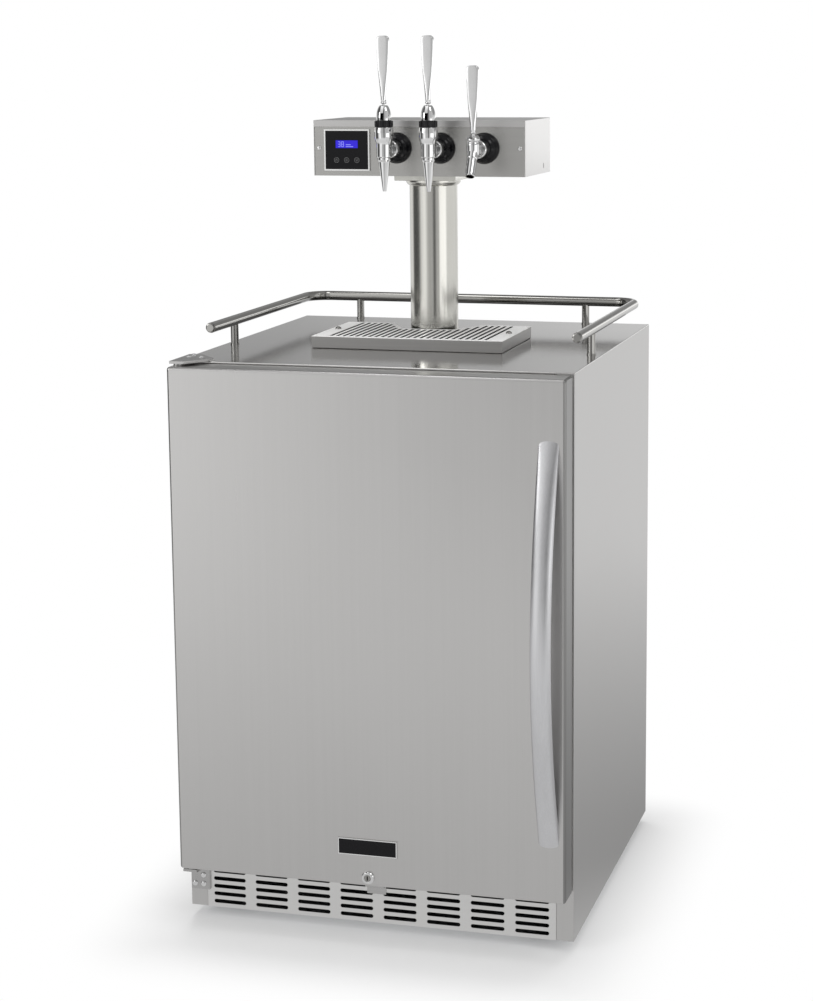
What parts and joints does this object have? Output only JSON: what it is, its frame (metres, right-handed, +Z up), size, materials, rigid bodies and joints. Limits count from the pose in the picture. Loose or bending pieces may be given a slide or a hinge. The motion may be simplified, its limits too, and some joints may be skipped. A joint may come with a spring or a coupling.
{
  "type": "cold brew coffee dispenser",
  "caption": "Refrigerated keg cabinet in brushed steel with a hinged door, guard rail, drip tray and a column tower carrying a display, stout taps and a standard tap.",
  "frame": {"origin": "on the floor under the middle of the whole object's box", "axes": "+Z up, the door faces -Y, +X to the right of someone facing the door"},
  "size_m": [0.606, 0.6989, 1.3465],
  "materials": {
    "brushed_steel": "brushed stainless steel",
    "galvanised_sheet": "galvanised sheet",
    "foam": "rigid insulating foam",
    "white_liner": "satin moulded plastic",
    "nylon": "moulded nylon",
    "gasket_rubber": "soft grey vinyl",
    "foot_black": "moulded black",
    "satin_aluminium": "satin anodised",
    "badge": "bare black plate in a bright rim",
    "chrome": "polished",
    "plunger_steel": "turned",
    "black_plastic": "moulded black plastic",
    "display_black": "gloss black",
    "display_blue": "lit display",
    "key_black": "membrane key",
    "compressor_black": "black enamel",
    "coil": "mill finish fins",
    "fan_grey": "moulded plastic"
  },
  "bodies": {
    "cabinet": {"side_panel_left": "brushed_steel", "side_panel_right": "brushed_steel", "top_panel": "brushed_steel", "back_panel": "galvanised_sheet", "base_pan": "galvanised_sheet", "compartment_panel": "galvanised_sheet", "cabinet_insulation": "foam", "inner_liner": "white_liner", "vent_grille": "brushed_steel", "leveling_feet": "foot_black", "bottom_hinge_bracket": "brushed_steel", "top_hinge_bracket": "brushed_steel", "lock_catch": "brushed_steel", "screws": "chrome", "mains_inlet": "black_plastic", "compressor": "compressor_black", "condenser_coil": "coil", "condenser_fan_frame": "black_plastic", "evaporator_coil": "coil", "evaporator_cover": "white_liner", "guard_rail": "chrome", "rail_fittings": "chrome", "drip_tray": "brushed_steel", "tower_column": "brushed_steel", "column_top_plate": "brushed_steel", "tower_base": "brushed_steel", "tower_front_plate": "brushed_steel", "tower_cover": "brushed_steel", "display_housing": "display_black", "display_window": "display_blue", "shank_flanges": "black_plastic", "shanks": "chrome", "shank_nuts": "chrome", "stout_bodies": "chrome", "stout_nozzles": "chrome", "stout_lock_rings": "black_plastic", "tap_bonnets": "chrome", "standard_body": "chrome"},
    "door": {"door_skin": "brushed_steel", "door_core": "foam", "door_liner": "white_liner", "door_gasket": "gasket_rubber", "door_handle": "satin_aluminium", "badge_plate": "badge", "hinge_bushes": "nylon", "lock_housing": "chrome"},
    "lock": {"lock_cylinder": "chrome"},
    "grate": {"drip_grate": "brushed_steel"},
    "condenser_fan": {"condenser_fan": "fan_grey"},
    "evaporator_fan": {"evaporator_fan": "fan_grey"},
    "lever_left": {"lever_left": "chrome"},
    "lever_middle": {"lever_middle": "chrome"},
    "lever_right": {"lever_right": "chrome"},
    "plunger_left": {"plunger_left": "plunger_steel"},
    "plunger_middle": {"plunger_middle": "plunger_steel"},
    "plunger_right": {"plunger_right": "plunger_steel"},
    "key_left": {"key_left": "key_black"},
    "key_middle": {"key_middle": "key_black"},
    "key_right": {"key_right": "key_black"}
  },
  "joints": [
    {"name": "door_swing", "type": "hinge", "parent": "cabinet", "child": "door", "pos_m": [-0.29, -0.2665, 0.418], "axis": [0, 0, -1], "range_deg": [0, 110]},
    {"name": "lock_turn", "type": "hinge", "parent": "door", "child": "lock", "pos_m": [0, -0.2665, 0.108], "axis": [0, 1, 0], "range_deg": [0, 90]},
    {"name": "grate_lift", "type": "slide", "parent": "cabinet", "child": "grate", "axis": [0, 0, 1], "range_m": [0, 0.04]},
    {"name": "condenser_fan_spin", "type": "hinge", "parent": "cabinet", "child": "condenser_fan", "pos_m": [-0.045, 0.283, 0.0775], "axis": [1, 0, 0], "continuous": true},
    {"name": "evaporator_fan_spin", "type": "hinge", "parent": "cabinet", "child": "evaporator_fan", "pos_m": [0, 0.2665, 0.708], "axis": [0, 1, 0], "continuous": true},
    {"name": "lever_left_pull", "type": "hinge", "parent": "cabinet", "child": "lever_left", "pos_m": [-0.035, -0.0483, 1.2285], "axis": [1, 0, 0], "range_deg": [0, 40]},
    {"name": "plunger_left_stroke", "type": "slide", "parent": "cabinet", "child": "plunger_left", "axis": [0, 0, 1], "range_m": [0, 0.004]},
    {"name": "lever_middle_pull", "type": "hinge", "parent": "cabinet", "child": "lever_middle", "pos_m": [0.035, -0.0483, 1.2285], "axis": [1, 0, 0], "range_deg": [0, 40]},
    {"name": "plunger_middle_stroke", "type": "slide", "parent": "cabinet", "child": "plunger_middle", "axis": [0, 0, 1], "range_m": [0, 0.004]},
    {"name": "lever_right_pull", "type": "hinge", "parent": "cabinet", "child": "lever_right", "pos_m": [0.105, -0.0483, 1.1855], "axis": [1, 0, 0], "range_deg": [0, 35]},
    {"name": "plunger_right_stroke", "type": "slide", "parent": "cabinet", "child": "plunger_right", "axis": [0, 1, 0], "range_m": [0, 0.003]},
    {"name": "key_left_press", "type": "slide", "parent": "cabinet", "child": "key_left", "axis": [0, 1, 0], "range_m": [0, 0.0005], "stiffness_N_per_m": 400},
    {"name": "key_middle_press", "type": "slide", "parent": "cabinet", "child": "key_middle", "axis": [0, 1, 0], "range_m": [0, 0.0005], "stiffness_N_per_m": 400},
    {"name": "key_right_press", "type": "slide", "parent": "cabinet", "child": "key_right", "axis": [0, 1, 0], "range_m": [0, 0.0005], "stiffness_N_per_m": 400}
  ],
  "couplings": [
    {"joint": "plunger_left_stroke", "follows": "lever_left_pull", "m_per_rad": 0.0057},
    {"joint": "plunger_middle_stroke", "follows": "lever_middle_pull", "m_per_rad": 0.0057},
    {"joint": "plunger_right_stroke", "follows": "lever_right_pull", "m_per_rad": 0.0049}
  ]
}
